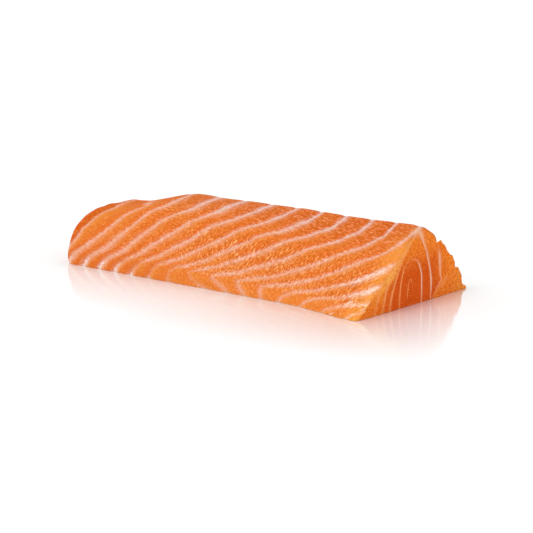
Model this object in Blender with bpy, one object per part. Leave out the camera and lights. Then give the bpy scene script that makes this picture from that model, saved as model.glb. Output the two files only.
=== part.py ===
"""Salmon fillet: one thick raw piece, flat underneath and cut across at both ends.

Metres, +Z up. The origin is under the middle of the piece, at the level it lies on.
+X runs along the piece to the peaked cut end, -Y is the long smooth slope that shows the
seams between the muscle bands, and the steeper side with the deep flakes faces +Y.
"""
import math

import bmesh
import bpy

MM = 0.001

# Driving dimensions of the whole piece
LENGTH = 140.0 * MM
WIDTH = 65.0 * MM           # at the peaked end, where the front corner flares out

# Plan of the piece, from the middle of its width
RIDGE_Y = 3.6 * MM
FLARE = 5.6 * MM            # how far the front corner reaches past the rest of the edge
FLARE_START = 34.0 * MM
BACK_NARROWING = 2.5 * MM   # how far the back edge comes in at the blunt end

# The ridge's corners, as place along the piece and height, each rounded off over a length
RIDGE = ((-70.0 * MM, 19.4 * MM), (-57.0 * MM, 20.3 * MM), (-36.0 * MM, 25.8 * MM),
         (5.0 * MM, 26.5 * MM), (70.0 * MM, 26.8 * MM))
RIDGE_ROUNDING = 3.0 * MM
CREST_STEPS = 3             # points each side of the ridge that are eased to round it over

# Bluntness of the cross-section: 1 is a straight slope, 2 an ellipse, more is boxy
FRONT_ACROSS = (3.0, 1.0)   # at the blunt end and at the peaked end
FRONT_UP = (2.3, 1.0)
BACK_ACROSS = (2.1, 1.35)
BACK_UP = (2.1, 1.35)
BLUNT_PLACE = -75.0 * MM
PEAKED_PLACE = 60.0 * MM

# Seams between the muscle bands: where they cross the ridge, and for three such places how
# far a seam has swept along the piece when it reaches the front foot
SEAM_PITCH = 11.4 * MM
FIRST_SEAM = -54.1 * MM
WIDE_BAND_AT = -43.0 * MM   # on the blunt side of this the bands are wider
WIDE_BAND = 1.6             # by this much
BAND_DRIFT = 0.127          # the pitch drifts in a slow wave, by this share of a band
DRIFT_LENGTH = 26.9 * MM
DRIFT_TURN = 0.9
SWEEPS = ((-70.0 * MM, 4.0 * MM), (-43.0 * MM, 30.0 * MM), (39.0 * MM, 59.0 * MM))
SWEEP_STRAIGHT = 0.155      # share of the front below the ridge that the seams cross squarely
SWEEP_STEADY = 0.645        # share of the sweep that comes evenly, the rest near the foot
SWEEP_POWER = 4.2
BACK_SWEEP = 0.55           # the even sweep down the back, as a share of the front's

# Depth of the seams' grooves, and their width as a share of a band
FRONT_GROOVE = 0.35 * MM
FRONT_GROOVE_WIDTH = 0.17
BACK_GROOVE = 1.4 * MM
BACK_GROOVE_WIDTH = 0.2
BACK_GROOVE_GROWTH = 0.3    # share of the back below the ridge over which they deepen

# Cut ends: a rounded rim and a slightly domed face
RIM_RADIUS = 0.9 * MM
DOME = 0.3 * MM
FACE_SIZE = 0.95            # loops smaller than this against the whole section are cut face

# Fineness of the mesh
BODY_STEPS = 74
SIDE_STEPS = 26
RIM_STEPS = 2
FACE_STEPS = 4
FINE_STEPS = 240
SETTLING_STEPS = 40

FLESH_COLOUR = (0.80, 0.19, 0.035, 1.0)


def mix(first, second, share):
    return first + (second - first) * share


def smooth_step(start, stop, value):
    """0 before start, 1 after stop and an even curve between."""
    share = min(max((value - start) / (stop - start), 0.0), 1.0)
    return share * share * (3.0 - 2.0 * share)


def along_corners(corners, place):
    """Height at a place on straight runs between corners, level past the ends."""
    if place <= corners[0][0]:
        return corners[0][1]
    for (start, height), (stop, next_height) in zip(corners, corners[1:]):
        if place < stop:
            return mix(height, next_height, (place - start) / (stop - start))
    return corners[-1][1]


def ridge_height(x):
    nearby = [x + RIDGE_ROUNDING * step for step in (-1.0, -0.5, 0.0, 0.5, 1.0)]
    return sum(along_corners(RIDGE, place) for place in nearby) / len(nearby)


def front_foot(x):
    return FLARE - WIDTH / 2 - FLARE * smooth_step(FLARE_START, LENGTH / 2, x)


def back_foot(x):
    return WIDTH / 2 - BACK_NARROWING * smooth_step(0.0, LENGTH / 2, -x)


def side_points(x, foot, across, up):
    """Points of one side of the section at x, evenly spaced from the foot to the ridge."""
    peaked = smooth_step(BLUNT_PLACE, PEAKED_PLACE, x)
    power_across = mix(*across, peaked)
    power_up = mix(*up, peaked)
    fine = []
    for step in range(FINE_STEPS + 1):
        share = (step / FINE_STEPS) ** 3
        rise = (1.0 - (1.0 - share) ** power_across) ** (1.0 / power_up)
        fine.append((mix(foot, RIDGE_Y, share), ridge_height(x) * rise))
    lengths = [0.0]
    for before, after in zip(fine, fine[1:]):
        lengths.append(lengths[-1] + math.dist(before, after))
    points = []
    at = 0
    for step in range(SIDE_STEPS + 1):
        wanted = lengths[-1] * step / SIDE_STEPS
        while at < FINE_STEPS - 1 and lengths[at + 1] < wanted:
            at += 1
        part = (wanted - lengths[at]) / (lengths[at + 1] - lengths[at])
        points.append([mix(a, b, part) for a, b in zip(fine[at], fine[at + 1])])
    return points


def section(x):
    """The section's outline from the front foot over the ridge to the back foot."""
    front = side_points(x, front_foot(x), FRONT_ACROSS, FRONT_UP)
    back = side_points(x, back_foot(x), BACK_ACROSS, BACK_UP)
    outline = front + back[-2::-1]
    crest = range(SIDE_STEPS - CREST_STEPS, SIDE_STEPS + CREST_STEPS + 1)
    eased = {step: [(before + 2.0 * at + after) / 4.0 for before, at, after in
                    zip(outline[step - 1], outline[step], outline[step + 1])]
             for step in crest}
    for step, point in eased.items():
        outline[step] = point
    return outline


def band_number(x, fall, is_back):
    """Which band a point is in, whole on each seam; fall is 0 on the ridge, 1 at a foot."""
    if is_back:
        share = BACK_SWEEP * fall
    else:
        swept = max(fall - SWEEP_STRAIGHT, 0.0) / (1.0 - SWEEP_STRAIGHT)
        share = SWEEP_STEADY * swept + (1.0 - SWEEP_STEADY) * swept ** SWEEP_POWER
    ridge_x = x
    for _ in range(SETTLING_STEPS):
        ridge_x = x + along_corners(SWEEPS, ridge_x) * share
    even_x = max(ridge_x, WIDE_BAND_AT)
    number = (even_x - FIRST_SEAM) / SEAM_PITCH
    number += BAND_DRIFT * math.sin(even_x / DRIFT_LENGTH - DRIFT_TURN)
    return number + min(ridge_x - WIDE_BAND_AT, 0.0) / (WIDE_BAND * SEAM_PITCH)


def groove(number, width):
    """1 on a seam and 0 away from it."""
    return math.exp(-((number - round(number)) / width) ** 2)


def stations():
    """Each loop of the skin: its x and its size against the whole section."""
    rim_start = LENGTH / 2 - DOME - RIM_RADIUS
    body = [(mix(-rim_start, rim_start, step / BODY_STEPS), 1.0)
            for step in range(BODY_STEPS + 1)]
    rim_inset = RIM_RADIUS / (WIDTH / 2)
    end = []
    for step in range(1, RIM_STEPS + 1):
        turn = math.pi / 2 * step / RIM_STEPS
        end.append((rim_start + RIM_RADIUS * math.sin(turn),
                    1.0 - rim_inset * (1.0 - math.cos(turn))))
    for step in range(1, FACE_STEPS + 1):
        size = (1.0 - rim_inset) * (1.0 - step / FACE_STEPS)
        end.append((LENGTH / 2 - DOME * size ** 2, size))
    other_end = [(-x, size) for x, size in reversed(end)]
    return other_end + body + end


def add_skin(mesh):
    """Drape a net of loops over the piece; each loop's two feet lie at z = 0."""
    net = []
    for x, size in stations():
        loop = []
        for step, (y, z) in enumerate(section(x)):
            fall = abs(step - SIDE_STEPS) / SIDE_STEPS
            vert = mesh.verts.new((x, y * size, z * size))
            loop.append((vert, x, size, fall, step > SIDE_STEPS))
        net.append(loop)
    for loop, next_loop in zip(net, net[1:]):
        for step in range(2 * SIDE_STEPS):
            mesh.faces.new((loop[step][0], next_loop[step][0],
                            next_loop[step + 1][0], loop[step + 1][0]))
    return [point for loop in net for point in loop]


def press_grooves(points):
    """Sink the seams into the long sides, deeper down the back."""
    moves = []
    for vert, x, size, fall, is_back in points:
        if size < FACE_SIZE:
            continue
        depth = FRONT_GROOVE
        width = FRONT_GROOVE_WIDTH
        if is_back:
            grown = smooth_step(0.0, BACK_GROOVE_GROWTH, fall)
            depth = mix(FRONT_GROOVE, BACK_GROOVE, grown)
            width = mix(FRONT_GROOVE_WIDTH, BACK_GROOVE_WIDTH, grown)
        move = -depth * groove(band_number(x, fall, is_back), width) * vert.normal
        if fall == 1.0:
            move.z = 0.0
        moves.append((vert, move))
    for vert, move in moves:
        vert.co += move


def flesh_material():
    material = bpy.data.materials.new("raw_salmon")
    material.use_nodes = True
    finish = material.node_tree.nodes["Principled BSDF"]
    finish.inputs["Base Color"].default_value = FLESH_COLOUR
    finish.inputs["Roughness"].default_value = 0.32
    finish.inputs["Metallic"].default_value = 0.0
    finish.inputs["Subsurface Weight"].default_value = 0.2
    return material


def add_fillet():
    skin = bmesh.new()
    points = add_skin(skin)
    skin.normal_update()
    press_grooves(points)
    bmesh.ops.remove_doubles(skin, verts=skin.verts, dist=0.01 * MM)
    open_edges = [edge for edge in skin.edges if edge.is_boundary]
    bmesh.ops.contextual_create(skin, geom=open_edges)
    bmesh.ops.recalc_face_normals(skin, faces=skin.faces)
    mesh = bpy.data.meshes.new("salmon_fillet")
    skin.to_mesh(mesh)
    skin.free()
    mesh.shade_smooth()
    mesh.set_sharp_from_angle(angle=math.radians(60))
    mesh.materials.append(flesh_material())
    fillet = bpy.data.objects.new("salmon_fillet", mesh)
    bpy.context.scene.collection.objects.link(fillet)


for leftover in list(bpy.data.objects):
    bpy.data.objects.remove(leftover)
add_fillet()
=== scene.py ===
import math

import bpy
import numpy as np
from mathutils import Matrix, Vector, noise


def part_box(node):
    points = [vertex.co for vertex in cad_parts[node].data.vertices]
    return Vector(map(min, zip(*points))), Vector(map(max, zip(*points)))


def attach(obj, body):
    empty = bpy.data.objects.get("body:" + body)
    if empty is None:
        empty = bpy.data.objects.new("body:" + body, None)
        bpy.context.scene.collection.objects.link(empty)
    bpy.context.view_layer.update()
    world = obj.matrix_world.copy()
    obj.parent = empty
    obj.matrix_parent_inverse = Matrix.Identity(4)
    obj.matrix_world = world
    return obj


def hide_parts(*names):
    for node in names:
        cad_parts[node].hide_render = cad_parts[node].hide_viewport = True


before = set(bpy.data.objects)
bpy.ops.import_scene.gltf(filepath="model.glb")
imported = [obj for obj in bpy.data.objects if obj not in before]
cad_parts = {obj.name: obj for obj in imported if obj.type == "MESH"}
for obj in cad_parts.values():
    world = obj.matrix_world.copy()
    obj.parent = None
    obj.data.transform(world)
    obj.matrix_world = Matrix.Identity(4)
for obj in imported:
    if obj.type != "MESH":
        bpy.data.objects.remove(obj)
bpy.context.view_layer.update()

mm = 0.001
low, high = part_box("salmon_fillet")
roundingSteps = (-1.0, -0.5, 0.0, 0.5, 1.0)     # a corner is rounded by averaging over these


def mix(first, second, share):
    return first + (second - first) * share


def smoothStep(start, stop, value):
    share = np.clip((value - start) / (stop - start), 0.0, 1.0)
    return share * share * (3.0 - 2.0 * share)


# Straight runs between the pairs of a table
def fromTable(pairs, value):
    return np.interp(value, *zip(*pairs))


# Many values below hold only in a zone. They are written as the amount, then a few measures,
# each with where on it the amount starts and where all of it is there. The measures are x, y
# and z in millimetres, fall (0 on the ridge, 1 at a foot), number (of the muscle band) and
# arch (which one of a cut end).
def zoned(entry, at):
    amount, *ramps = entry
    for name, start, stop in ramps:
        amount = amount * smoothStep(start, stop, at[name])
    return amount


# The form that the net is draped over, the same as the solid's
form = {
    "length": high.x - low.x,
    "width": 65.0 * mm,
    "ridgeY": 3.6 * mm,
    "flare": 5.6 * mm,              # the front corner reaches past the rest of the edge
    "flareStart": 34.0 * mm,
    "backNarrowing": 2.5 * mm,
    "ridge": ((-70.0, 19.4), (-57.0, 20.3), (-36.0, 25.8), (5.0, 26.5), (70.0, 26.8)),  # mm
    "ridgeRounding": 3.0 * mm,
    "crestPasses": 11,              # how often the crest is eased to round it over
    "crestRows": 8,
    "frontAcross": (3.0, 1.0),      # bluntness at the blunt and at the peaked end
    "frontUp": (2.3, 1.0),
    "backAcross": (2.1, 1.35),
    "backUp": (2.1, 1.35),
    "bluntPlace": -75.0 * mm,
    "peakedPlace": 60.0 * mm,
    "rimRadius": 1.5 * mm,
    "dome": 0.3 * mm,
}

# How fine the net is
net = {
    "bodySteps": 306,
    "sideSteps": 84,
    "underSteps": 24,
    "rimSteps": 5,
    "faceSteps": 26,
    "fineSteps": 400,
    "footCrowding": 3,              # the fine steps crowd towards the foot by this power
    "sideSizes": (0.955, 0.975),    # at these sizes of loop a cut end turns into the sides
    "closeWithin": 0.0001 * mm,
    "sharpFrom": 60.0,              # degrees
}


def ridgeHeight(x):
    around = [fromTable(form["ridge"], (x + form["ridgeRounding"] * step) / mm) * mm
              for step in roundingSteps]
    return np.mean(around, axis=0)


def frontFoot(x):
    reach = form["flare"] * smoothStep(form["flareStart"], form["length"] / 2, x)
    return form["flare"] - form["width"] / 2 - reach


def backFoot(x):
    return form["width"] / 2 - form["backNarrowing"] * smoothStep(0.0, form["length"] / 2, -x)


# Points of one side at x from its foot to the ridge, evenly spaced
def sidePoints(x, foot, across, up):
    peaked = smoothStep(form["bluntPlace"], form["peakedPlace"], x)
    share = np.linspace(0.0, 1.0, net["fineSteps"] + 1) ** net["footCrowding"]
    rise = (1.0 - (1.0 - share) ** mix(*across, peaked)) ** (1.0 / mix(*up, peaked))
    y = mix(foot, form["ridgeY"], share)
    z = ridgeHeight(x) * rise
    lengths = np.concatenate(([0.0], np.cumsum(np.hypot(np.diff(y), np.diff(z)))))
    wanted = np.linspace(0.0, lengths[-1], net["sideSteps"] + 1)
    return np.stack((np.interp(wanted, lengths, y), np.interp(wanted, lengths, z)), axis=1)


# The section's outline at x from the front foot over the ridge to the back foot
def section(x):
    front = sidePoints(x, frontFoot(x), form["frontAcross"], form["frontUp"])
    back = sidePoints(x, backFoot(x), form["backAcross"], form["backUp"])
    outline = np.concatenate((front, back[-2::-1]))
    rows = np.arange(len(outline))
    crest = np.clip(1.0 - np.abs(rows - net["sideSteps"]) / form["crestRows"], 0.0, 1.0)
    for _ in range(form["crestPasses"]):
        eased = outline.copy()
        eased[1:-1] = (outline[:-2] + 2.0 * outline[1:-1] + outline[2:]) / 4.0
        outline = mix(outline, eased, np.minimum(2.0 * crest, 1.0)[:, None])
    return outline


# The loops of the net: where each is along the piece, and its size against the section
def loopPlaces():
    rimStart = form["length"] / 2 - form["dome"] - form["rimRadius"]
    rimInset = form["rimRadius"] / (form["width"] / 2)
    end = []
    for step in range(1, net["rimSteps"] + 1):
        turn = math.pi / 2 * step / net["rimSteps"]
        size = 1.0 - rimInset * (1.0 - math.cos(turn))
        end.append((rimStart + form["rimRadius"] * math.sin(turn), size))
    for step in range(1, net["faceSteps"] + 1):
        size = (1.0 - rimInset) * (1.0 - step / net["faceSteps"])
        end.append((form["length"] / 2 - form["dome"] * size ** 2, size))
    body = [(x, 1.0) for x in np.linspace(-rimStart, rimStart, net["bodySteps"] + 1)]
    return np.array([(-x, size) for x, size in reversed(end)] + body + end)


# Where the seams between the muscle bands run, in millimetres
bands = {
    "pitch": 11.4,
    "first": -54.1,
    "wideFrom": -43.0,              # on the blunt side of this the bands are wider
    "wide": 1.6,
    "drift": 0.127,
    "driftLength": 26.9,
    "driftTurn": 0.9,
    "sweeps": ((-70.0, 4.0), (-43.0, 30.0), (39.0, 59.0)),
    # Down the front slope: at what share of it how much of the sweep is done
    "frontSweep": ((0.155, 0.0), (0.5, 0.285), (0.7, 0.47), (0.8, 0.605), (0.88, 0.785),
                   (0.93, 0.855), (1.0, 0.905)),
    "sweepRounding": 0.02,
    "backSweep": 0.55,
    "settling": 40,
    # Above the front foot the seams hook back: from what share on, how far, where, how broadly
    "hookFrom": 0.885,
    "hook": (-15.0, 2.0, 25.0),
    # Near the ridge the seams lean over: from which band on, by how many bands, and down to
    # what share of the slope
    "lifts": ((-0.4, 0.4, 0.3), (0.2, 0.7, 0.5), (1.5, 0.45, 0.3), (2.7, 0.34, 0.3),
              (3.8, 0.17, 0.3), (4.9, 0.0, 0.3), (6.5, -0.12, 0.22), (10.5, -0.2, 0.22)),
    "liftPower": 1.3,
    "tipRounding": 0.04,
    "backLean": (1.0, ("fall", 0.3, 0.0)),      # how far down the back the last ones lean
    # At the peaked end they rise to the point of the cut
    "peakLift": (0.28, ("x", 52.0, 70.0)),
    "peakLiftFront": (1.0, ("fall", 0.45, 0.05)),
    "wave": (0.06, ("fall", 0.8, 0.5), ("fall", 0.0, 0.1)),
    "waveFall": 0.3,
    "footShift": (0.06, ("fall", 0.85, 1.0), ("number", 8.0, 6.5)),     # their tips lean back
    "underDip": 1.3,                # under the piece they bend forward by so many bands
}


# Which band a point is in, whole on each seam, with x in millimetres
def bandNumber(x, fall, isBack):
    front = np.mean([fromTable(bands["frontSweep"], fall + bands["sweepRounding"] * step)
                     for step in roundingSteps], axis=0)
    share = np.where(isBack, bands["backSweep"] * fall, front)
    ridgeX = x.copy()
    for _ in range(bands["settling"]):
        ridgeX = x + fromTable(bands["sweeps"], ridgeX) * share
    nearFoot = np.clip((fall - bands["hookFrom"]) / (1.0 - bands["hookFrom"]), 0.0, 1.0)
    reach, middle, spread = bands["hook"]
    hook = reach * np.exp(-((x - middle) / spread) ** 2) * nearFoot
    ridgeX = ridgeX + np.where(isBack, 0.0, hook)
    evenX = np.maximum(ridgeX, bands["wideFrom"])
    number = (evenX - bands["first"]) / bands["pitch"]
    number += bands["drift"] * np.sin(evenX / bands["driftLength"] - bands["driftTurn"])
    number += np.minimum(ridgeX - bands["wideFrom"], 0.0) / (bands["wide"] * bands["pitch"])

    # Lean and sway
    at = {"x": x, "fall": fall, "number": number}
    liftAt, lifts, liftEnd = np.array(bands["lifts"]).T
    lift = np.interp(number, liftAt, lifts)
    peak = zoned(bands["peakLift"], at)
    rounded = np.hypot(fall, bands["tipRounding"]) - bands["tipRounding"]
    leaning = np.clip(1.0 - rounded / np.interp(number, liftAt, liftEnd), 0.0, 1.0)
    front = lift * leaning ** bands["liftPower"] + peak * zoned(bands["peakLiftFront"], at)
    wave = np.cos(2.0 * math.pi * (fall / bands["waveFall"] - 0.5))
    front += zoned(bands["wave"], at) * wave
    front += zoned(bands["footShift"], at)
    back = np.maximum(lift, 0.0) * (1.0 - rounded)
    back += np.minimum(lift, 0.0) * zoned(bands["backLean"], at)
    back += peak * (1.0 - fall) ** 2
    return number + np.where(isBack, back, front)


# Millimetres from one band to the next at each point of the net, from the slope of the numbers
def bandSpacing(number, place):
    alongLoop = np.gradient(place, axis=1)
    acrossLoops = np.gradient(place, axis=0)
    numberAlong = np.gradient(number, axis=1)
    numberAcross = np.gradient(number, axis=0)
    e = (acrossLoops ** 2).sum(axis=2)
    f = (acrossLoops * alongLoop).sum(axis=2)
    g = (alongLoop ** 2).sum(axis=2)
    slope = (g * numberAcross ** 2 - 2.0 * f * numberAcross * numberAlong
             + e * numberAlong ** 2) / np.maximum(e * g - f * f, 1e-9)
    return 1.0 / np.sqrt(np.clip(slope, 1e-3, 1.0))


# How broad and how pale the seams are
seams = {
    # Half their breadth in millimetres: along the ridge at these bands, and at the foot
    "crestWidth": ((0.0, 0.9), (1.0, 1.35), (2.5, 1.5), (4.0, 1.7), (5.0, 1.3), (7.0, 1.15),
                   (9.0, 0.8)),
    "footWidth": 0.95,
    "footBroader": (0.4, ("number", 5.0, 1.0)),
    "footNarrower": (0.45, ("number", 1.6, 0.6)),
    "crestToFoot": (1.0, ("fall", 0.1, 0.55)),
    "peakedBroader": (0.6, ("x", 58.0, 67.0), ("fall", 0.35, 0.55), ("fall", 0.95, 0.75)),
    # Where they fade, and by what share
    "fadedHooks": (0.6, ("number", 3.0, 4.5), ("number", 9.5, 8.0), ("fall", 0.84, 0.9),
                   ("fall", 1.0, 0.96)),
    "fadedFirst": (0.15, ("number", 1.0, 0.2), ("fall", 0.6, 0.2)),
    "fadedLow": (0.2, ("number", 4.0, 6.0), ("fall", 0.6, 0.8)),
    "fadedCorner": (0.35, ("x", 48.0, 58.0), ("fall", 0.7, 0.85)),
    "fadedEdge": (0.5, ("x", 68.3, 69.6), ("fall", 0.1, 0.3)),
    # Where they are nearly white, partly paler tissue and partly painted wet highlight: beside the
    # peaked cut end and along the front foot
    "whitePeaked": (1.0, ("x", 52.0, 66.0), ("fall", 0.35, 0.6)),
    "whiteFoot": (1.0, ("fall", 0.9, 0.96), ("number", 7.0, 4.0)),
    "lessWhiteFoot": (0.7, ("number", 2.0, 0.8)),
    "whiteBack": 0.3,
    # Where they are a greyer white: along the ridge
    "greyCrest": (1.0, ("fall", 0.5, 0.1), ("number", 1.0, 3.5)),
    "lessGreyCrest": (0.4, ("number", 8.0, 11.0)),
}


def seamWidth(at):
    crest = fromTable(seams["crestWidth"], at["number"])
    foot = seams["footWidth"] + zoned(seams["footBroader"], at) - zoned(seams["footNarrower"], at)
    width = mix(crest, foot, zoned(seams["crestToFoot"], at))
    return width + zoned(seams["peakedBroader"], at)


def seamStrength(at):
    left = (1.0 - zoned(seams["fadedHooks"], at)) * (1.0 - zoned(seams["fadedFirst"], at))
    left = left * (1.0 - zoned(seams["fadedLow"], at) - zoned(seams["fadedCorner"], at))
    return left * (1.0 - zoned(seams["fadedEdge"], at))


def seamTip(at, isBack):
    foot = zoned(seams["whiteFoot"], at) * (1.0 - zoned(seams["lessWhiteFoot"], at))
    front = np.maximum(zoned(seams["whitePeaked"], at), foot)
    return np.where(isBack, seams["whiteBack"], front)


def seamCrest(at):
    return zoned(seams["greyCrest"], at) * (1.0 - zoned(seams["lessGreyCrest"], at))


# Where highlights are painted on the flesh, where the light that comes through its edge is painted,
# and where shade is painted before the first seam
shine = {
    # Painted glints on the front slope
    "glint": (0.3, ("x", -40.0, 5.0), ("fall", 0.3, 0.6), ("fall", 0.95, 0.88)),
    "leastGlint": 0.08,
    # Broad painted wet highlights in the peaked end's front corner and up its edge
    "wetCorner": (1.0, ("x", 52.0, 62.0), ("fall", 0.72, 0.86)),
    "wetEdge": (0.4, ("x", 64.0, 68.0), ("fall", 0.3, 0.6)),
    # The pale patch where the peaked end's edges meet, with its middle and spread across and up
    "apex": (1.0, ("x", 66.0, 69.0)),
    "apexMiddle": (2.3, 24.6),
    "apexSpread": (2.1, 1.5),
    "bluntShadeZone": (1.0, ("number", 0.1, -0.1), ("fall", 1.0, 0.9)),  # painted shade before the first seam
    # The yellow edge, painted light that comes through the thin flesh: on the slope beside the
    # peaked cut end, and on the cut outside an arch, which is one low down and another high up
    "rimSlope": (0.55, ("x", 60.0, 69.0), ("fall", 0.02, 0.3)),
    "rimBackShare": 0.2,
    "rimArch": (3.9, 3.0),
    "rimArchHeights": (5.0, 13.0),
    "rimCut": (1.0, ("y", 3.0, -2.0), ("z", 2.5, 12.0)),
    "rimBackCorner": (0.3, ("y", 20.0, 30.0), ("z", 9.0, 3.0)),
    "rimPeaked": (1.0, ("x", 0.0, 60.0)),
}


def paintedGlintShare(at, isBack):
    front = np.maximum(zoned(shine["glint"], at), shine["leastGlint"])
    return np.where(isBack, shine["leastGlint"], front)


def paintedWetShare(at, isBack):
    front = np.maximum(zoned(shine["wetCorner"], at), zoned(shine["wetEdge"], at))
    return np.where(isBack, 0.0, front)


def apexShare(at):
    (middleY, middleZ), (spreadY, spreadZ) = shine["apexMiddle"], shine["apexSpread"]
    away = np.hypot((at["y"] - middleY) / spreadY, (at["z"] - middleZ) / spreadZ)
    return zoned(shine["apex"], at) * np.exp(-away ** 2)


def paintedBluntShade(at, isBack):
    return np.where(isBack, 0.0, zoned(shine["bluntShadeZone"], at))


def paintedEdgeLightShare(at, isBack, onSide):
    slope = zoned(shine["rimSlope"], at)
    slope = np.where(isBack, shine["rimBackShare"] * slope, slope)
    firstArch = mix(*shine["rimArch"], smoothStep(*shine["rimArchHeights"], at["z"]))
    cut = smoothStep(0.0, 1.0, at["arch"] - firstArch) * zoned(shine["rimCut"], at)
    cut = np.maximum(cut, zoned(shine["rimBackCorner"], at)) * zoned(shine["rimPeaked"], at)
    return mix(cut, slope, onSide)


# The nested arches on a cut end, in millimetres and degrees
arches = {
    # Number, half breadth, height, and how square across and up: 1 and 2 make a pointed arch
    "shapes": ((1.0, 1.2, 8.6, 2.0, 3.0), (2.0, 6.2, 15.6, 2.2, 3.3), (3.0, 11.6, 25.0, 1.0, 2.0),
               (4.0, 17.0, 38.0, 1.0, 2.0), (12.0, 57.0, 110.0, 1.0, 2.0)),
    "least": 0.72,                  # the number in the very middle
    "middle": -1.9,
    "leans": ((1.0, 0.0), (2.0, 0.06), (3.0, 0.17)),    # towards the back as they rise
    "slopeFoot": -32.4,             # the front slope's edge: its foot, and its run for each rise
    "slopeRun": 1.343,
    "besideSlope": (4.3, 2.5),      # how many stand between the third and that edge, low and high
    "besideSlopeHeights": (0.0, 10.0),
    "pastSlope": 1.2,               # they are counted on a little past the edge
    "fan": (10.0, -0.5),            # low on the back side they fan out from here
    "fanAngles": (45.0, 7.5),
    "fanLeast": 3.2,
    "fanHeights": (7.5, 4.5),
    "fanPlaces": (1.0, 3.0),
    "halvings": 30,
    "probe": 0.2,                   # how far to each side it is seen how fast the numbers grow
    "spacings": (1.0, 12.0),
}


# Which arch a point of a cut end is on, whole on each; y and z in millimetres
def archNumber(y, z):
    at, breadths, heights, squareAcross, squareUp = np.array(arches["shapes"]).T
    leans = arches["leans"]
    inner, outer = np.full_like(y, arches["least"]), np.full_like(y, at[-1])
    for _ in range(arches["halvings"]):
        number = (inner + outer) / 2.0
        off = np.abs(y - arches["middle"] - fromTable(leans, number) * z)
        across = (off / np.interp(number, at, breadths)) ** np.interp(number, at, squareAcross)
        up = (z / np.interp(number, at, heights)) ** np.interp(number, at, squareUp)
        inner = np.where(across + up > 1.0, number, inner)
        outer = np.where(across + up > 1.0, outer, number)

    # Between the third arch's front leg and the slope, they run up to the ridge together
    third, lean = leans[2]
    leg = arches["middle"] + lean * z
    leg = leg - breadths[2] * (1.0 - np.clip(z / heights[2], 0.0, 1.0) ** squareUp[2])
    edge = arches["slopeFoot"] + arches["slopeRun"] * z
    beyond = np.clip((leg - y) / np.maximum(leg - edge, 1.0), 0.0, arches["pastSlope"])
    step = mix(*arches["besideSlope"], smoothStep(*arches["besideSlopeHeights"], z))
    number = np.where((inner > third) & (y < leg), third + step * beyond, inner)

    # Low on the back side
    fanY, fanZ = arches["fan"]
    first, between = arches["fanAngles"]
    angle = np.degrees(np.arctan2(z - fanZ, np.maximum(y - fanY, 0.01)))
    fan = np.maximum(third + 1.0 + (first - angle) / between, arches["fanLeast"])
    share = smoothStep(*arches["fanHeights"], z) * smoothStep(*arches["fanPlaces"], y - fanY)
    return mix(number, fan, share)


# How pale and how broad each arch's line is, and how deep the flesh between them; the front
# and the back side differ
rings = {
    "frontStrength": ((0.7, 0.0), (1.0, 1.0), (1.5, 0.5), (2.0, 0.9), (3.0, 0.9), (4.0, 0.9),
                      (5.0, 0.7), (5.5, 0.3), (5.8, 0.0)),
    "backStrength": ((0.7, 0.0), (1.3, 0.1), (2.0, 1.0), (3.0, 1.0), (4.0, 0.8), (5.0, 0.8),
                     (6.0, 0.7), (6.5, 0.0)),
    "strengthTurns": (1.0, ("y", -2.5, -0.5)),
    # From which number to which they fade, by what share, and between which heights
    "fades": ((0.0, 1.5, 1.0, 4.0, 2.0), (1.5, 2.5, 0.7, 12.5, 15.0)),
    "backFades": ((2.5, 3.5, 0.35, 13.0, 18.0), (3.5, 4.5, 1.0, 14.0, 18.5),
                  (4.5, 99.0, 1.0, 6.0, 8.0)),
    "fadedLow": (0.4, ("z", 6.0, 0.0)),
    # Half the breadths in millimetres: the innermost two, then the others; the third swells
    # up to the point
    "frontWidth": (0.55, 0.75),
    "backWidth": (0.42, 0.24),
    "thirdWidth": ((0.0, 0.28), (3.0, 0.45), (7.0, 0.62), (13.0, 0.5), (17.0, 0.45), (21.0, 0.6),
                   (24.0, 1.1)),
    "fourthWidth": ((5.0, 0.28), (9.0, 0.55), (12.0, 1.0), (17.0, 0.8), (20.0, 0.35)),
    "widthTurns": (1.0, ("y", -1.0, 2.0)),
    # How white they are on the back side
    "white": ((1.5, 0.5), (2.0, 0.85), (2.6, 0.95), (3.0, 1.0), (4.0, 0.65), (4.5, 0.15)),
    "whiteTurns": (1.0, ("y", -2.0, 3.0)),
    "lessWhiteLow": (0.7, ("z", 5.0, 0.0)),
    # The flesh is deepest in the middle low down
    "outerFlesh": (1.0, ("arch", 2.8, 5.2)),
    "lessOuterLow": (0.35, ("z", 8.0, 0.0)),
    "highFlesh": (1.0, ("z", 10.0, 21.0)),
}


# Arches between two numbers fade by a share between two heights
def fadeArches(strength, fades, at):
    for first, last, amount, start, stop in fades:
        left = 1.0 - amount * smoothStep(start, stop, at["z"])
        strength = np.where((at["arch"] > first) & (at["arch"] < last), strength * left, strength)
    return strength


def ringStrength(at):
    front = fromTable(rings["frontStrength"], at["arch"])
    back = fadeArches(fromTable(rings["backStrength"], at["arch"]), rings["backFades"], at)
    strength = mix(front, back, zoned(rings["strengthTurns"], at))
    return fadeArches(strength, rings["fades"], at) * (1.0 - zoned(rings["fadedLow"], at))


def ringWidth(at):
    isInner = at["arch"] < 2.5
    inner, outer = rings["backWidth"]
    fourth = np.where(at["arch"] < 4.5, fromTable(rings["fourthWidth"], at["z"]), outer)
    third = np.where(at["arch"] < 3.5, fromTable(rings["thirdWidth"], at["z"]), fourth)
    back = np.where(isInner, inner, third)
    return mix(np.where(isInner, *rings["frontWidth"]), back, zoned(rings["widthTurns"], at))


def ringTip(at):
    white = fromTable(rings["white"], at["arch"]) * zoned(rings["whiteTurns"], at)
    return white * (1.0 - zoned(rings["lessWhiteLow"], at))


def cutTone(at):
    outer = zoned(rings["outerFlesh"], at) * (1.0 - zoned(rings["lessOuterLow"], at))
    return np.maximum(outer, zoned(rings["highFlesh"], at))


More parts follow.
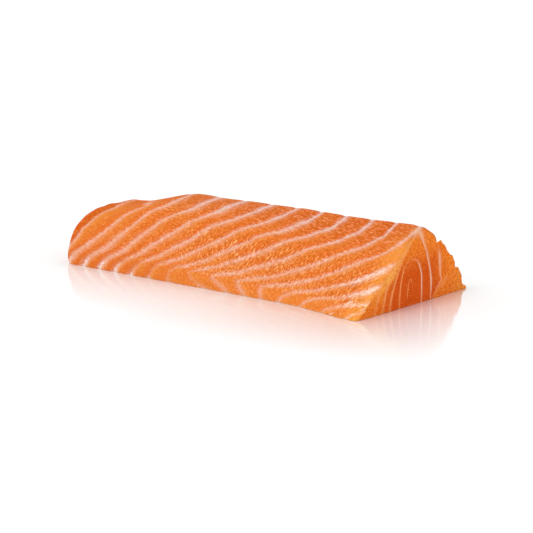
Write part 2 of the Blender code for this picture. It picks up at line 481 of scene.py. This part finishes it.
# How far the surface is sunk or stands proud, in millimetres
relief = {
    "frontGroove": 0.22,
    "frontGrooveWidth": 0.9,
    "flake": 2.0,                   # each of the back's flakes ends in a notch
    "flatterFlake": (0.35, ("x", 56.0, 64.0), ("fall", 0.5, 0.7)),  # by this share
    "flakeRise": 4.5,
    "flakeLedge": 0.1,              # the share of a band that its ledge takes
    "flakeProud": 0.6,
    # The peaked end's last one is hollow above a lip
    "hollow": (1.3, ("x", 60.0, 68.0)),
    "hollowFall": 0.92,
    "hollowSpread": 0.045,
    "lip": (0.9, ("x", 60.0, 68.0), ("fall", 0.965, 1.0)),
    "flakeGrowth": (0.3, 0.6),      # between which shares of the back they grow
    "earlierGrowth": (0.2, ("x", 35.0, 66.0)),      # at the peaked end they start higher up
    "smallFlake": 0.8,
    "smallFlakes": 4.0,             # to each band
    "smallStray": 1.6,
    "smallStrayLength": 7.0,
    # The seams notch the front foot of the blunt half
    "footNotch": (0.6, ("fall", 0.86, 0.99), ("number", 7.5, 5.5)),
    "footNotchPast": 0.08,          # so far past the seam, as a share of a band
    "footNotchWidth": 1.1,
    "sway": 0.3,
    "swayLength": 19.0,
    "ripple": 0.08,
    "rippleLength": 2.6,
    "rippleStretch": (0.35, 1.0, 1.0),
    "endSway": (0.5, ("fromMiddle", 62.0, 69.0)),   # the cut ends' edges are a little ragged
    "endSwayLength": 5.0,
    "calmFoot": (1.0, ("fall", 1.0, 0.9)),
    "cutGroove": 0.12,
    "cutGrooveWidth": 0.1,          # as a share of the way from arch to arch
    "cutSway": 0.25,
    "cutSwayLength": 8.0,
    "calmCutFoot": (1.0, ("z", 0.0, 1.0)),
}


# Each flake rounds off into a notch, and the next one starts with a ledge
def flakeDepth(number):
    share = number - np.floor(number)
    ledge = smoothStep(relief["flakeLedge"], 0.0, share)
    return np.maximum(share ** relief["flakeRise"], ledge)


# Noise about 0, near enough from -1 to 1
def noiseAt(place, length):
    flat = place.reshape(-1, 3)
    values = [noise.noise(Vector(point) / (length * mm)) for point in flat]
    return np.array(values).reshape(place.shape[:-1])


# How far each point of the sides is sunk, in millimetres
def sideDepth(place, spacing, isBack, at):
    number, fall = at["number"], at["fall"]
    fromSeam = number - np.rint(number)
    front = relief["frontGroove"] * np.exp(-(fromSeam * spacing / relief["frontGrooveWidth"]) ** 2)
    past = (fromSeam - relief["footNotchPast"]) * spacing / relief["footNotchWidth"]
    front += zoned(relief["footNotch"], at) * np.exp(-past ** 2)

    # The back's flakes, with smaller ones on them
    small = number * relief["smallFlakes"]
    small += relief["smallStray"] * noiseAt(place, relief["smallStrayLength"])
    flake = relief["flake"] * (1.0 - zoned(relief["flatterFlake"], at))
    back = flake * flakeDepth(number) + relief["smallFlake"] * flakeDepth(small)
    fromHollow = (fall - relief["hollowFall"]) / relief["hollowSpread"]
    back += zoned(relief["hollow"], at) * np.exp(-fromHollow ** 2) - zoned(relief["lip"], at)
    back -= relief["flakeProud"]
    earlier = zoned(relief["earlierGrowth"], at)
    grown = np.where(isBack, smoothStep(*relief["flakeGrowth"], fall + earlier), 0.0)

    proud = relief["sway"] * noiseAt(place, relief["swayLength"])
    stretched = place * np.array(relief["rippleStretch"])
    proud += relief["ripple"] * noiseAt(stretched, relief["rippleLength"])
    proud += zoned(relief["endSway"], at) * noiseAt(place, relief["endSwayLength"])
    return mix(front, back, grown) - proud * zoned(relief["calmFoot"], at)


# What the material reads on the underside, where it isn't led across from foot to foot
underValues = {
    "fall": 0.6, "cutEnd": 0.0, "seamWidth": 0.9, "seamStrength": 0.8, "seamTip": 0.0,
    "seamCrest": 0.0, "paintedGlintShare": 0.0, "paintedWetShare": 0.0, "apexShare": 0.0, "paintedEdgeLightShare": 0.0,
    "paintedBluntShade": 0.0,
}


# How far across the underside each of its rows is, from the back foot to the front foot
def underShares():
    return np.arange(1, net["underSteps"]) / net["underSteps"]


# The values of each loop led on under the piece to the front foot again
def withUnderside(values):
    share = underShares().reshape((1, -1) + (1,) * (values.ndim - 2))
    under = mix(values[:, -1:], values[:, :1], share)
    return np.concatenate((values, under, values[:, :1]), axis=1)


def addAttribute(mesh, name, values):
    attribute = mesh.attributes.new(name, "FLOAT", "POINT")
    attribute.data.foreach_set("value", np.asarray(values, dtype=np.float32).ravel())


def deselectAll():
    if bpy.context.object and bpy.context.object.mode != "OBJECT":
        bpy.ops.object.mode_set(mode="OBJECT")
    bpy.ops.object.select_all(action="DESELECT")


def addFillet():
    loops = loopPlaces()
    rowCount = 2 * net["sideSteps"] + 1
    lastRow = rowCount + net["underSteps"] - 1
    deselectAll()
    bpy.ops.mesh.primitive_grid_add(x_subdivisions=len(loops) - 1, y_subdivisions=lastRow,
                                    size=1.0, location=(0.0, 0.0, 0.0))
    fillet = bpy.context.object
    fillet.name = "filletFlesh"
    mesh = fillet.data

    # Each point of the flat grid belongs to a loop and to a row of the outline
    flat = np.empty(len(mesh.vertices) * 3, dtype=np.float32)
    mesh.vertices.foreach_get("co", flat)
    flat = flat.reshape(-1, 3)
    gridPoint = (np.rint((flat[:, 0] + 0.5) * (len(loops) - 1)).astype(int),
                 np.rint((flat[:, 1] + 0.5) * lastRow).astype(int))

    # The piece as if it ran on unrounded to its cut ends
    x = np.repeat(loops[:, 0, None], rowCount, axis=1)
    full = np.concatenate((x[:, :, None], [section(loopX) for loopX in loops[:, 0]]), axis=2)
    endLoops = net["rimSteps"] + net["faceSteps"]
    first, last = endLoops, len(loops) - endLoops - 1
    toBody = np.clip(np.arange(len(loops)), first, last) - first
    outward = np.cross(np.gradient(full[first:last + 1], axis=0),
                       np.gradient(full[first:last + 1], axis=1))
    outward /= np.linalg.norm(outward, axis=2, keepdims=True)
    outward = outward[toBody]

    # The band numbers, kept as they are across the cut ends
    rows = np.repeat(np.arange(rowCount)[None, :], len(loops), axis=0)
    fall = np.abs(rows - net["sideSteps"]) / net["sideSteps"]
    isBack = rows > net["sideSteps"]
    at = {"x": x / mm, "fromMiddle": np.abs(x) / mm, "fall": fall,
          "number": bandNumber(x / mm, fall, isBack)}
    spacing = bandSpacing(at["number"][first:last + 1], full[first:last + 1] / mm)[toBody]

    # Relief on the sides, then the ends are drawn in from it
    depth = sideDepth(full, spacing, isBack, at)
    place = full - depth[:, :, None] * mm * outward
    place[:, (0, -1), 2] = 0.0
    place[:, :, 2] = np.maximum(place[:, :, 2], 0.0)
    size = np.repeat(loops[:, 1, None], rowCount, axis=1)
    place[:, :, 1:] *= size[:, :, None]
    place[:, :, 0] = np.where(size < 1.0, x, place[:, :, 0])
    at["y"], at["z"] = place[:, :, 1] / mm, place[:, :, 2] / mm
    at["arch"] = archNumber(at["y"], at["z"])
    onSide = smoothStep(*net["sideSizes"], size)
    fromArch = (at["arch"] - np.rint(at["arch"])) / relief["cutGrooveWidth"]
    sunk = relief["cutGroove"] * np.exp(-fromArch ** 2)
    sunk = sunk + relief["cutSway"] * np.abs(noiseAt(place, relief["cutSwayLength"]))
    sunk = sunk * (1.0 - onSide) * zoned(relief["calmCutFoot"], at)
    place[:, :, 0] -= np.sign(x) * sunk * mm
    mesh.vertices.foreach_set("co", withUnderside(place)[gridPoint].astype(np.float32).ravel())

    # What the material reads
    probe = arches["probe"]
    slope = np.hypot(archNumber(at["y"] + probe, at["z"]) - at["arch"],
                     archNumber(at["y"], at["z"] + probe) - at["arch"]) / probe
    for name, values in {
            "bandNumber": at["number"], "bandSpacing": spacing, "fall": fall,
            "cutEnd": 1.0 - onSide, "seamWidth": seamWidth(at), "seamStrength": seamStrength(at),
            "seamTip": seamTip(at, isBack), "seamCrest": seamCrest(at),
            "paintedGlintShare": paintedGlintShare(at, isBack), "paintedWetShare": paintedWetShare(at, isBack),
            "apexShare": apexShare(at), "paintedBluntShade": paintedBluntShade(at, isBack),
            "archNumber": at["arch"],
            "archSpacing": np.clip(1.0 / np.maximum(slope, 1e-3), *arches["spacings"]),
            "ringStrength": ringStrength(at), "ringWidth": ringWidth(at),
            "ringTip": ringTip(at), "cutTone": cutTone(at),
            "paintedEdgeLightShare": paintedEdgeLightShare(at, isBack, onSide)}.items():
        values = withUnderside(values)
        if name in underValues:
            values[:, rowCount:-1] = underValues[name]
        if name == "bandNumber":
            values[:, rowCount:-1] -= bands["underDip"] * np.sin(math.pi * underShares())
        addAttribute(mesh, name, values[gridPoint])

    # Close the seam along the front foot and the two poles
    bpy.ops.object.mode_set(mode="EDIT")
    bpy.ops.mesh.select_all(action="SELECT")
    bpy.ops.mesh.remove_doubles(threshold=net["closeWithin"])
    bpy.ops.mesh.normals_make_consistent(inside=False)
    bpy.ops.object.mode_set(mode="OBJECT")
    bpy.ops.object.shade_smooth_by_angle(angle=math.radians(net["sharpFrom"]))
    return fillet


# Colours of the flesh as the light leaves it, its patterns, and sizes in millimetres
flesh = {
    "light": (0.735, 0.221, 0.036),     # just past a seam
    "deep": (0.715, 0.154, 0.019),      # just before the next
    "crest": (0.57, 0.104, 0.013),      # painted shade along the ridge
    "low": (0.80, 0.232, 0.038),        # above the foot of the peaked half
    "first": (0.56, 0.080, 0.002),      # painted shade before the first seam
    "furrow": (0.46, 0.075, 0.002),     # between fibres, partly painted shade in the furrows
    "fleck": (0.92, 0.39, 0.115),       # on fibres, partly painted sparkle highlights
    "fleckCrest": (0.82, 0.31, 0.15),
    # painted glints
    "glint": (0.97, 0.66, 0.42),
    # painted wet highlights
    "paintedWet": (0.98, 0.80, 0.62),
    "seam": (0.765, 0.365, 0.245),
    # paler seam tips, partly painted wet highlight
    "seamTip": (0.89, 0.66, 0.58),
    "seamCrest": (0.74, 0.49, 0.43),
    "apex": (0.86, 0.46, 0.24),
    "cut": (0.68, 0.09, 0.005),         # the cut end's middle
    "cutOuter": (0.91, 0.222, 0.018),
    "cutFurrow": (0.56, 0.075, 0.003),
    "ring": (0.93, 0.335, 0.11),
    "ringTip": (0.89, 0.54, 0.39),
    "rim": (0.98, 0.425, 0.066),        # painted light that comes through the thin edge
    # Grains: how stretched, how broad, and tilted and turned by how many degrees
    "streaks": (3.2, 0.5, 7.0, -8.0),   # fibres high up
    "dashes": (2.6, 0.5, -36.9, 82.9),  # fibres low on the peaked half
    "mottles": (1.8, 0.7, 7.0, -8.0),   # along the seams
    "dots": (1.5, 0.5, 30.0, 90.0),     # on the cut ends
    "blots": (2.4, 1.5, -30.0, 65.0),   # painted wet highlights
    "clouds": (1.6, 9.0),
    # Where each shows, also by how strong its own grain is there
    "dashZone": (1.0, ("x", -50.0, 0.0), ("fall", 0.2, 0.6)),
    "roughFrom": (1.0, ("x", -56.0, -20.0)),
    "roughBlunt": 0.42,                 # how rough the blunt end is against the rest
    "roughFootFrom": (1.0, ("fall", 0.82, 0.92)),
    "roughFoot": 0.5,
    "deepZone": (1.0, ("share", 0.1, 0.75)),
    "cloudZone": (0.5, ("clouds", 0.45, 0.8)),
    "crestShadeZone": (0.6, ("fall", 0.42, 0.02)),
    "lowZone": (0.6, ("fall", 0.6, 0.9), ("x", -40.0, -10.0)),
    "bluntShadeAmount": 0.7,
    "furrowZone": (0.72, ("fibres", 0.52, 0.3)),
    "fleckZone": (0.85, ("fibres", 0.5, 0.72)),
    "fleckFromCrest": (1.0, ("fall", 0.15, 0.55)),
    "mottleZone": (1.0, ("mottles", 0.33, 0.67)),
    "paintedSeamGlint": (0.6, ("fibres", 0.52, 0.68)),       # painted glints on the seams' fibres: how white they are
    "rimZone": (1.0, ("streaks", 0.8, 0.35)),
    "glintZone": (1.0, ("dashes", 0.6, 0.72)),
    "paintedWetZone": (0.6, ("blots", 0.6, 0.67)),
    "apexAmount": 0.45,
    # On the cut ends, with furrows partly painted shade and flecks partly painted sparkle: which
    # colour, where, and how much of it in the middle and outside
    "cutGrains": (("cutFurrow", (1.0, ("dots", 0.55, 0.3)), (0.8, 0.5)),
                  ("fleck", (1.0, ("dots", 0.5, 0.75)), (0.2, 0.5))),
    # Lines
    "leastSeam": 0.2,
    "smoothSeam": 0.5,                  # what is added to that where the flesh is smooth
    "mottledSeam": (0.85, 1.8),
    "tipSeam": 1.2,                     # how much stronger the tips are
    "tipWhite": (0.6, 1.3),             # how white they are, by the mottles
    "seamOverRim": 0.85,
    "wander": 0.36,                     # how far seams stray, as a share of a band
    "wanderLength": 8.0,
    "fray": 1.0,
    "skirt": 0.5,                       # how much of a seam is its faint broad part
    "ringWander": 0.12,
    "ringWanderLength": 9.0,
    "ringSkirt": 0.3,
    # Finish, first what is the same all over
    "finish": {"Roughness": 0.5, "Coat Roughness": 0.35, "Specular IOR Level": 0.0,
               "Subsurface Weight": 0.2, "Subsurface Radius": (1.0, 0.35, 0.12),
               "Subsurface Scale": 1.5 * mm},
    "coat": 0.06,
    "coatBlunt": 0.2,                   # how much of the coat the blunt end has
    "coatFrom": (1.0, ("x", -68.0, -50.0)),
    "bump": 0.6,
    "bumpHeight": 0.35,
}


def plug(tree, value, socket):
    if isinstance(value, bpy.types.NodeSocket):
        tree.links.new(value, socket)
    elif isinstance(value, tuple) and len(value) == 3 and socket.type == "RGBA":
        socket.default_value = (*value, 1.0)
    else:
        socket.default_value = value


def addNode(tree, kind, sockets=None, **settings):
    made = tree.nodes.new(kind)
    for name, value in settings.items():
        setattr(made, name, value)
    for name, value in (sockets or {}).items():
        plug(tree, value, made.inputs[name])
    return made


def maths(tree, operation, *values):
    made = addNode(tree, "ShaderNodeMath", operation=operation)
    for index, value in enumerate(values):
        plug(tree, value, made.inputs[index])
    return made.outputs[0]


def times(tree, first, second):
    return maths(tree, "MULTIPLY", first, second)


# 0 to 1 as the value goes from start to stop, eased at both ends
def ramp(tree, value, start, stop):
    made = addNode(tree, "ShaderNodeMapRange", {"Value": value, "From Min": start, "From Max": stop},
                   interpolation_type="SMOOTHSTEP")
    return made.outputs["Result"]


# An amount that holds in a zone, as above, here of a material's sockets
def zonedNodes(tree, entry, at):
    amount, *ramps = entry
    for name, start, stop in ramps:
        unit = mm if name == "x" else 1.0
        amount = times(tree, ramp(tree, at[name], start * unit, stop * unit), amount)
    return amount


def blend(tree, first, second, share):
    made = addNode(tree, "ShaderNodeMix", data_type="RGBA")
    plug(tree, first, made.inputs[6])
    plug(tree, second, made.inputs[7])
    plug(tree, share, made.inputs[0])
    return made.outputs[2]


def blendValue(tree, first, second, share):
    made = addNode(tree, "ShaderNodeMix", data_type="FLOAT")
    plug(tree, first, made.inputs[2])
    plug(tree, second, made.inputs[3])
    plug(tree, share, made.inputs[0])
    return made.outputs[0]


def readValue(tree, name):
    return addNode(tree, "ShaderNodeAttribute", attribute_name=name).outputs["Fac"]


# Noise in object space, stretched along its own x, which is turned by two angles in degrees
def grain(tree, place, stretch, across, tilt=0.0, turn=0.0, detail=2.0):
    turned = addNode(tree, "ShaderNodeMapping", {"Vector": place,
                     "Rotation": (0.0, math.radians(tilt), math.radians(turn)),
                     "Scale": (stretch * across * mm, across * mm, across * mm)},
                     vector_type="TEXTURE")
    made = addNode(tree, "ShaderNodeTexNoise", {"Vector": turned.outputs["Vector"], "Scale": 1.0,
                   "Detail": detail, "Roughness": 0.5})
    return made.outputs["Fac"]


def newGroup(name, inputs, outputs):
    group = bpy.data.node_groups.new(name, "ShaderNodeTree")
    for socket, kind in inputs:
        group.interface.new_socket(socket, in_out="INPUT", socket_type=kind)
    for socket, kind in outputs:
        group.interface.new_socket(socket, in_out="OUTPUT", socket_type=kind)
    given = group.nodes.new("NodeGroupInput").outputs
    return group, given, group.nodes.new("NodeGroupOutput").inputs


# How a pale line is built up. Its core and skirt: where each starts, where it is whole, where
# it starts to fade and where it ends, in half breadths; both reach further on the far side
line = {
    "core": (-0.5, 0.15, 0.6, 1.6),
    "skirt": (-1.6, 0.4, 0.2, 3.4),
    "strayDetail": 4.0,
    "strayRoughness": 0.62,
    "swell": (0.3, 1.7),                # its breadth is uneven between these shares
    "swellScale": 0.7,
    "swellDetail": 3.0,
}


# Pale lines wherever a number that grows over the surface is whole: their mask, and the
# share of the way from each line to the next
def paleLinesGroup():
    number = "NodeSocketFloat"
    group, given, out = newGroup(
        "paleLines",
        (("Place", "NodeSocketVector"), ("Number", number), ("Spacing", number),
         ("Width", number), ("Wander", number), ("Wander Length", number), ("Fray", number),
         ("Skirt", number)),
        (("Mask", number), ("Share", number)))
    scaled = addNode(group, "ShaderNodeVectorMath", {0: given["Place"]}, operation="SCALE")
    plug(group, maths(group, "DIVIDE", 1.0 / mm, given["Wander Length"]), scaled.inputs["Scale"])
    wavy = addNode(group, "ShaderNodeTexNoise", {"Vector": scaled.outputs["Vector"], "Scale": 1.0,
                   "Detail": line["strayDetail"], "Roughness": line["strayRoughness"]})
    stray = times(group, maths(group, "SUBTRACT", wavy.outputs["Fac"], 0.5), given["Wander"])
    strayed = maths(group, "ADD", given["Number"], stray)
    nearest = maths(group, "ROUND", strayed)
    away = times(group, maths(group, "SUBTRACT", strayed, nearest), given["Spacing"])
    away = maths(group, "ADD", away, given["Fray"])
    uneven = addNode(group, "ShaderNodeTexNoise", {"Vector": scaled.outputs["Vector"],
                     "Scale": line["swellScale"], "Detail": line["swellDetail"]})
    swell = blendValue(group, *line["swell"], uneven.outputs["Fac"])
    width = times(group, given["Width"], swell)
    masks = []
    for start, whole, fading, end in (line["core"], line["skirt"]):
        near = ramp(group, away, times(group, width, start), times(group, width, whole))
        far = ramp(group, away, times(group, width, end), times(group, width, fading))
        masks.append(times(group, near, far))
    plug(group, blendValue(group, *masks, given["Skirt"]), out["Mask"])
    plug(group, maths(group, "FRACT", strayed), out["Share"])
    return group


def addLines(tree, lines, values):
    made = addNode(tree, "ShaderNodeGroup", node_tree=lines)
    for socket, value in values.items():
        plug(tree, value, made.inputs[socket])
    return made.outputs


# The long sides: muscle from seam to seam with fibres in it, and the seams over it
def sideColour(tree, at, lines, rough):
    fray = maths(tree, "SUBTRACT", at["fibres"], 0.5)
    fray = times(tree, times(tree, fray, flesh["fray"]), rough)
    seamLines = addLines(tree, lines, {
        "Place": at["place"], "Number": readValue(tree, "bandNumber"),
        "Spacing": readValue(tree, "bandSpacing"), "Width": readValue(tree, "seamWidth"),
        "Fray": fray, "Skirt": flesh["skirt"], "Wander": flesh["wander"],
        "Wander Length": flesh["wanderLength"]})
    at["share"] = seamLines["Share"]
    at["clouds"] = grain(tree, at["place"], *flesh["clouds"])
    at["mottles"] = grain(tree, at["place"], *flesh["mottles"])

    muscle = blend(tree, flesh["light"], flesh["deep"], zonedNodes(tree, flesh["deepZone"], at))
    muscle = blend(tree, muscle, flesh["light"], zonedNodes(tree, flesh["cloudZone"], at))
    # Painted shade along the ridge
    muscle = blend(tree, muscle, flesh["crest"], zonedNodes(tree, flesh["crestShadeZone"], at))
    # Painted shade before the first seam, where the slope turns toward the blunt end
    muscle = blend(tree, muscle, flesh["first"],
                   times(tree, readValue(tree, "paintedBluntShade"), flesh["bluntShadeAmount"]))
    muscle = blend(tree, muscle, flesh["low"], zonedNodes(tree, flesh["lowZone"], at))
    furrows = times(tree, zonedNodes(tree, flesh["furrowZone"], at), rough)
    muscle = blend(tree, muscle, flesh["furrow"], furrows)
    fleck = blend(tree, flesh["fleckCrest"], flesh["fleck"],
                  zonedNodes(tree, flesh["fleckFromCrest"], at))
    flecks = times(tree, zonedNodes(tree, flesh["fleckZone"], at), rough)
    muscle = blend(tree, muscle, fleck, flecks)

    # Seams are patchy and follow the fibres where the flesh is rough; their tips are stronger
    mottle = zonedNodes(tree, flesh["mottleZone"], at)
    mask = times(tree, seamLines["Mask"], readValue(tree, "seamStrength"))
    patches = blendValue(tree, flesh["smoothSeam"], at["fibres"], rough)
    mask = times(tree, mask, maths(tree, "ADD", flesh["leastSeam"], patches))
    mask = times(tree, mask, blendValue(tree, *flesh["mottledSeam"], mottle))
    tip = readValue(tree, "seamTip")
    mask = times(tree, mask, blendValue(tree, 1.0, flesh["tipSeam"], tip))
    mask = maths(tree, "MINIMUM", mask, 1.0)
    white = times(tree, tip, blendValue(tree, *flesh["tipWhite"], mottle))
    # Painted glints whiten the seams' fibres
    paintedSeamGlint = times(tree, zonedNodes(tree, flesh["paintedSeamGlint"], at), rough)
    white = maths(tree, "MINIMUM", maths(tree, "ADD", white, paintedSeamGlint), 1.0)
    seamColour = blend(tree, flesh["seam"], flesh["seamTip"], white)
    seamColour = blend(tree, seamColour, flesh["seamCrest"], readValue(tree, "seamCrest"))
    side = blend(tree, muscle, seamColour, mask)

    # The painted light of the yellow edge lies between the seams, and painted glints and painted wet
    # highlights over all
    bare = maths(tree, "SUBTRACT", 1.0, times(tree, mask, flesh["seamOverRim"]))
    edge = times(tree, times(tree, at["rim"], bare), zonedNodes(tree, flesh["rimZone"], at))
    side = blend(tree, side, flesh["rim"], edge)
    glints = times(tree, zonedNodes(tree, flesh["glintZone"], at), readValue(tree, "paintedGlintShare"))
    side = blend(tree, side, flesh["glint"], glints)
    at["blots"] = grain(tree, at["place"], *flesh["blots"], detail=3.0)
    paintedWet = times(tree, zonedNodes(tree, flesh["paintedWetZone"], at), readValue(tree, "paintedWetShare"))
    return blend(tree, side, flesh["paintedWet"], paintedWet)


# The cut ends: deep orange with thin nested arches
def cutColour(tree, at, lines):
    archLines = addLines(tree, lines, {
        "Place": at["place"], "Number": readValue(tree, "archNumber"),
        "Spacing": readValue(tree, "archSpacing"), "Width": readValue(tree, "ringWidth"),
        "Fray": 0.0, "Skirt": flesh["ringSkirt"], "Wander": flesh["ringWander"],
        "Wander Length": flesh["ringWanderLength"]})
    at["dots"] = grain(tree, at["place"], *flesh["dots"])
    tone = readValue(tree, "cutTone")
    cut = blend(tree, flesh["cut"], flesh["cutOuter"], tone)
    # Painted light that comes through the thin edge
    cut = blend(tree, cut, flesh["rim"], at["rim"])
    for colour, zone, amounts in flesh["cutGrains"]:
        amount = times(tree, zonedNodes(tree, zone, at), blendValue(tree, *amounts, tone))
        cut = blend(tree, cut, flesh[colour], amount)
    ring = blend(tree, flesh["ring"], flesh["ringTip"], readValue(tree, "ringTip"))
    return blend(tree, cut, ring, times(tree, archLines["Mask"], readValue(tree, "ringStrength")))


def fleshMaterial():
    material = bpy.data.materials.new("rawSalmon")
    material.use_nodes = True
    tree = material.node_tree
    shader = tree.nodes["Principled BSDF"]
    place = addNode(tree, "ShaderNodeTexCoord").outputs["Object"]
    at = {"place": place, "fall": readValue(tree, "fall"), "rim": readValue(tree, "paintedEdgeLightShare"),
          "x": addNode(tree, "ShaderNodeSeparateXYZ", {"Vector": place}).outputs["X"],
          "streaks": grain(tree, place, *flesh["streaks"]),
          "dashes": grain(tree, place, *flesh["dashes"])}

    # Fibres: long streaks high up, short dashes low on the peaked half
    at["fibres"] = blendValue(tree, at["streaks"], at["dashes"],
                              zonedNodes(tree, flesh["dashZone"], at))
    rough = blendValue(tree, flesh["roughBlunt"], 1.0, zonedNodes(tree, flesh["roughFrom"], at))
    roughFoot = zonedNodes(tree, flesh["roughFootFrom"], at)
    rough = times(tree, rough, blendValue(tree, 1.0, flesh["roughFoot"], roughFoot))

    lines = paleLinesGroup()
    side = sideColour(tree, at, lines, rough)
    cut = cutColour(tree, at, lines)
    colour = blend(tree, side, cut, readValue(tree, "cutEnd"))
    apex = times(tree, readValue(tree, "apexShare"), flesh["apexAmount"])
    plug(tree, blend(tree, colour, flesh["apex"], apex), shader.inputs["Base Color"])

    # A wet coat, thin at the blunt end, over flesh that the fibres make rough
    bump = addNode(tree, "ShaderNodeBump", {"Height": at["fibres"], "Strength": flesh["bump"],
                                            "Distance": flesh["bumpHeight"] * mm})
    plug(tree, bump.outputs["Normal"], shader.inputs["Normal"])
    coat = blendValue(tree, flesh["coatBlunt"], 1.0, zonedNodes(tree, flesh["coatFrom"], at))
    plug(tree, times(tree, coat, flesh["coat"]), shader.inputs["Coat Weight"])
    for name, value in flesh["finish"].items():
        shader.inputs[name].default_value = value
    return material


# A white table that mirrors the piece beside it, less and less further off, with a painted contact
# shadow right beside the piece
table = {
    "size": 14.0,
    "gap": 0.05 * mm,
    "colour": (0.95, 0.95, 0.95),
    "paintedShadow": (0.89, 0.89, 0.89),    # painted contact shadow right beside the piece
    "paintedShadowReach": 0.12,             # as a share of the mirror's reach
    "mirror": 0.64,                 # how much it mirrors right beside the peaked end
    "mirrorBlunt": 0.64,            # how much of that beside the blunt end
    "mirrorPlaces": (-10.0 * mm, 60.0 * mm),    # between which that changes
    "mirrorReach": 70.0 * mm,
    "falloff": 1.5,                 # the power by which mirror and painted shadow fade
    "frontInset": 4.0 * mm,         # most of the front foot lies so far inside the box
    "roughness": (0.05, 0.22),      # beside the piece and at the mirror's reach
}


def tableMaterial():
    material = bpy.data.materials.new("whiteGloss")
    material.use_nodes = True
    tree = material.node_tree
    gloss = tree.nodes["Principled BSDF"]
    place = addNode(tree, "ShaderNodeSeparateXYZ",
                    {"Vector": addNode(tree, "ShaderNodeTexCoord").outputs["Object"]}).outputs

    # How far outside the piece's box, as a share of the mirror's reach
    squares = []
    for axis, start, stop in (("X", low.x, high.x), ("Y", low.y + table["frontInset"], high.y)):
        offCentre = maths(tree, "SUBTRACT", place[axis], (start + stop) / 2)
        beyond = maths(tree, "SUBTRACT", maths(tree, "ABSOLUTE", offCentre), (stop - start) / 2)
        squares.append(maths(tree, "POWER", maths(tree, "MAXIMUM", beyond, 0.0), 2.0))
    share = maths(tree, "DIVIDE", maths(tree, "SQRT", maths(tree, "ADD", *squares)),
                  table["mirrorReach"])
    share = maths(tree, "MINIMUM", share, 1.0)

    left = maths(tree, "POWER", maths(tree, "SUBTRACT", 1.0, share), table["falloff"])
    end = blendValue(tree, table["mirrorBlunt"], 1.0,
                     ramp(tree, place["X"], *table["mirrorPlaces"]))
    plug(tree, times(tree, times(tree, left, end), table["mirror"]), gloss.inputs["Metallic"])
    plug(tree, blendValue(tree, *table["roughness"], share), gloss.inputs["Roughness"])
    # Painted contact shadow: the table's colour darkens right beside the piece
    paintedShadowShare = maths(tree, "POWER", ramp(tree, share, table["paintedShadowReach"], 0.0), table["falloff"])
    plug(tree, blend(tree, table["colour"], table["paintedShadow"], paintedShadowShare), gloss.inputs["Base Color"])
    gloss.inputs["Specular IOR Level"].default_value = 0.0
    return material


def addTable():
    deselectAll()
    bpy.ops.mesh.primitive_plane_add(size=table["size"], location=(0.0, 0.0, low.z - table["gap"]))
    top = bpy.context.object
    top.name = "whiteTable"
    top.data.materials.append(tableMaterial())


# Where the photograph was taken from
shot = {
    "place": (451.3 * mm, -546.3 * mm, 156.0 * mm),
    "heading": 39.24,               # degrees, turned left from +Y
    "pitch": 12.13,                 # degrees below level
    "lens": 135.1,                  # millimetres, with the sensor's width
    "sensor": 36.0,
    "clip": (0.01, 50.0),
}


def addCamera():
    camera = bpy.data.cameras.new("shot")
    camera.lens = shot["lens"]
    camera.sensor_width = shot["sensor"]
    camera.clip_start, camera.clip_end = shot["clip"]
    holder = bpy.data.objects.new("shot", camera)
    holder.location = shot["place"]
    holder.rotation_euler = (math.radians(90.0 - shot["pitch"]), 0.0, math.radians(shot["heading"]))
    bpy.context.scene.collection.objects.link(holder)
    bpy.context.scene.camera = holder


# A broad soft lamp above and in front, and white surroundings
light = {
    "towards": (-0.2, -0.65, 0.73),
    "power": 0.8,
    "softness": 28.0,               # degrees
    "surroundings": 1.0,
    "fill": 0.93,                   # what the surroundings give to matt surfaces
}


def addLights():
    lamp = bpy.data.lights.new("softKey", "SUN")
    lamp.energy = light["power"]
    lamp.angle = math.radians(light["softness"])
    holder = bpy.data.objects.new("softKey", lamp)
    holder.rotation_euler = Vector(light["towards"]).to_track_quat("Z", "Y").to_euler()
    bpy.context.scene.collection.objects.link(holder)
    sky = bpy.data.worlds.new("studio")
    bpy.context.scene.world = sky
    sky.use_nodes = True
    tree = sky.node_tree
    back = tree.nodes["Background"]
    back.inputs["Color"].default_value = (1.0, 1.0, 1.0, 1.0)
    isMatt = addNode(tree, "ShaderNodeLightPath").outputs["Is Diffuse Ray"]
    strength = blendValue(tree, light["surroundings"], light["fill"], isMatt)
    plug(tree, strength, back.inputs["Strength"])


bpy.context.scene.view_settings.view_transform = "Standard"
addCamera()
print("camera set")
fillet = addFillet()
fillet.data.materials.append(fleshMaterial())
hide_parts("salmon_fillet")
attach(fillet, "root")
print("fillet draped:", len(fillet.data.polygons), "faces")
addTable()
addLights()
print("table and lights set")
